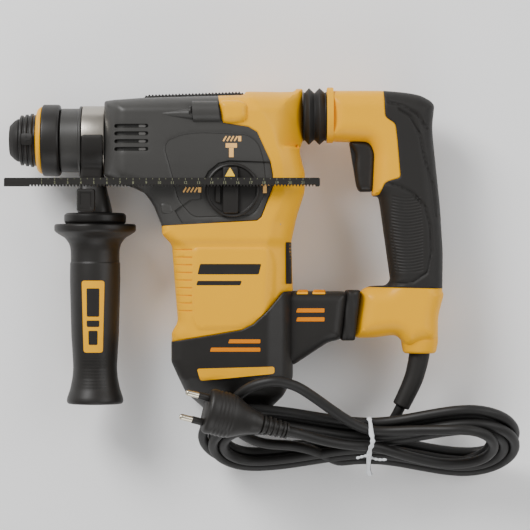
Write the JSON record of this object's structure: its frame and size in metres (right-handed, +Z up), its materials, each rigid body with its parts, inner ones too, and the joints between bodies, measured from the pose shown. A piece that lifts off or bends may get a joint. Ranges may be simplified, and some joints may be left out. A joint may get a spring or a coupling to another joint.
{
  "type": "rotary hammer",
  "caption": "Corded rotary hammer with keyless bit chuck, damped rear D-handle, clamped side handle with depth rod, and a tied hank of mains cord with plug.",
  "frame": {"origin": "on the flat right cheek of the gear housing, where the tool rests on the bench, under the crossing of the bit axis and the motor axis", "axes": "+X points from the nose to the rear handle along the bit axis, +Y points up the tool away from the motor, +Z points up from the bench, out of the tool's left side"},
  "size_m": [0.4047, 0.3098, 0.113],
  "materials": {
    "yellow_housing": "moulded yellow plastic, fine satin grain",
    "sleeve_ring": "moulded yellow plastic",
    "gear_housing": "dark grey satin coating",
    "black_plastic": "black moulded plastic",
    "rubber": "black soft rubber",
    "cord_rubber": "black cable sheath",
    "cord_tie": "white coated wire",
    "band_steel": "brushed strip",
    "machined_steel": "machined",
    "plate_aluminium": "die cast",
    "copper": "turned",
    "plug_pins": "nickel plated"
  },
  "bodies": {
    "housing": {"gear_housing": "gear_housing", "top_strip": "rubber", "main_shell_left": "yellow_housing", "main_shell_right": "yellow_housing", "base_shell_left": "black_plastic", "base_shell_right": "black_plastic", "stator": "machined_steel", "gear_plate": "plate_aluminium", "bearing_upper": "machined_steel", "bearing_lower": "machined_steel", "brush_holder_left": "copper", "brush_holder_right": "copper", "spindle_bearing": "machined_steel", "handle_pivot_pin": "machined_steel", "bellows": "rubber", "damper_spring": "machined_steel", "lower_boot": "rubber", "cord_lead": "cord_rubber", "cord_hank": "cord_rubber", "cord_tail": "cord_rubber", "cord_tie": "cord_tie", "plug_body": "black_plastic", "plug_pin_1": "plug_pins", "plug_pin_2": "plug_pins", "shell_screw_1": "machined_steel", "shell_screw_2": "machined_steel", "shell_screw_3": "machined_steel", "shell_screw_4": "machined_steel"},
    "armature": {"armature_shaft": "machined_steel", "armature_core": "machined_steel", "commutator": "copper", "cooling_fan": "black_plastic"},
    "crank": {"crank_gear": "machined_steel"},
    "bevel_gear_shaft": {"bevel_shaft": "machined_steel"},
    "spindle_set": {"spindle": "machined_steel", "spindle_gear": "machined_steel", "dust_cap": "rubber"},
    "sleeve": {"locking_sleeve": "rubber", "sleeve_ring": "sleeve_ring"},
    "collar": {"chuck_collar": "black_plastic"},
    "piston_set": {"piston": "machined_steel", "piston_pin": "machined_steel", "connecting_rod": "machined_steel"},
    "striker": {"ram": "machined_steel"},
    "anvil": {"beat_piece": "machined_steel"},
    "dial": {"mode_dial": "black_plastic"},
    "dial_button": {"dial_lock_button": "black_plastic"},
    "fork": {"shift_fork": "machined_steel"},
    "trigger_lever": {"trigger": "black_plastic"},
    "rear_handle": {"handle_shell_left": "yellow_housing", "handle_shell_right": "yellow_housing", "handle_grip": "rubber", "trigger_switch": "black_plastic", "cord_guard": "cord_rubber"},
    "side_clamp_set": {"side_clamp": "black_plastic"},
    "band_set": {"steel_band": "band_steel", "clamp_bolt": "machined_steel"},
    "side_grip_set": {"side_grip": "rubber"},
    "latch": {"rod_latch": "black_plastic"},
    "gauge_rod": {"depth_rod": "black_plastic"}
  },
  "joints": [
    {"name": "armature_spin", "type": "hinge", "parent": "housing", "child": "armature", "pos_m": [0, 0, 0.041], "axis": [0, 1, 0], "continuous": true},
    {"name": "crank_spin", "type": "hinge", "parent": "housing", "child": "crank", "pos_m": [0.0225, 0, 0.041], "axis": [0, 1, 0], "continuous": true},
    {"name": "bevel_shaft_spin", "type": "hinge", "parent": "housing", "child": "bevel_gear_shaft", "pos_m": [-0.0245, 0, 0.041], "axis": [0, 1, 0], "continuous": true},
    {"name": "spindle_spin", "type": "hinge", "parent": "housing", "child": "spindle_set", "pos_m": [0, 0, 0.041], "axis": [1, 0, 0], "continuous": true},
    {"name": "locking_sleeve_pull", "type": "slide", "parent": "spindle_set", "child": "sleeve", "axis": [1, 0, 0], "range_m": [0, 0.006], "stiffness_N_per_m": 400},
    {"name": "chuck_collar_turn", "type": "hinge", "parent": "spindle_set", "child": "collar", "pos_m": [0, 0, 0.041], "axis": [1, 0, 0], "range_deg": [0, 35], "stiffness_Nm_per_rad": 0.2},
    {"name": "piston_stroke", "type": "slide", "parent": "housing", "child": "piston_set", "axis": [1, 0, 0], "range_m": [0, 0.022]},
    {"name": "striker_slide", "type": "slide", "parent": "housing", "child": "striker", "axis": [1, 0, 0], "range_m": [-0.004, 0.006]},
    {"name": "beat_piece_slide", "type": "slide", "parent": "housing", "child": "anvil", "axis": [1, 0, 0], "range_m": [-0.004, 0.004]},
    {"name": "mode_dial_turn", "type": "hinge", "parent": "housing", "child": "dial", "pos_m": [0.0007, -0.04, 0.041], "axis": [0, 0, 1], "range_deg": [-90, 90]},
    {"name": "dial_button_press", "type": "slide", "parent": "dial", "child": "dial_button", "axis": [0, 0, -1], "range_m": [0, 0.001], "stiffness_N_per_m": 300},
    {"name": "shift_fork_slide", "type": "slide", "parent": "housing", "child": "fork", "axis": [1, 0, 0], "range_m": [-0.005, 0.005]},
    {"name": "handle_float", "type": "hinge", "parent": "housing", "child": "rear_handle", "pos_m": [0.0926, -0.1363, 0.041], "axis": [0, 0, 1], "range_deg": [0, 1.8], "stiffness_Nm_per_rad": 400, "deforming": ["bellows", "damper_spring", "lower_boot"]},
    {"name": "trigger_pull", "type": "slide", "parent": "rear_handle", "child": "trigger_lever", "axis": [1, 0, 0], "range_m": [0, 0.0065], "stiffness_N_per_m": 600},
    {"name": "side_handle_swivel", "type": "hinge", "parent": "housing", "child": "side_clamp_set", "pos_m": [0, 0, 0.041], "axis": [-1, 0, 0], "range_deg": [0, 180]},
    {"name": "side_grip_turn", "type": "hinge", "parent": "side_clamp_set", "child": "side_grip_set", "pos_m": [-0.1075, 0, 0.041], "axis": [0, 1, 0], "range_deg": [0, 360]},
    {"name": "band_release", "type": "slide", "parent": "side_clamp_set", "child": "band_set", "axis": [0, 1, 0], "range_m": [0, 0.0015]},
    {"name": "depth_rod_slide", "type": "slide", "parent": "side_clamp_set", "child": "gauge_rod", "axis": [1, 0, 0], "range_m": [-0.15, 0.05]},
    {"name": "rod_latch_press", "type": "slide", "parent": "side_clamp_set", "child": "latch", "axis": [0, 0, -1], "range_m": [0, 0.0025], "stiffness_N_per_m": 400}
  ],
  "couplings": [
    {"joint": "crank_spin", "follows": "armature_spin", "ratio": -0.25},
    {"joint": "bevel_shaft_spin", "follows": "armature_spin", "ratio": -0.225},
    {"joint": "spindle_spin", "follows": "armature_spin", "ratio": 0.09},
    {"joint": "shift_fork_slide", "follows": "mode_dial_turn", "m_per_rad": 0.003183},
    {"joint": "band_release", "follows": "side_grip_turn", "m_per_rad": 0.0002387}
  ]
}
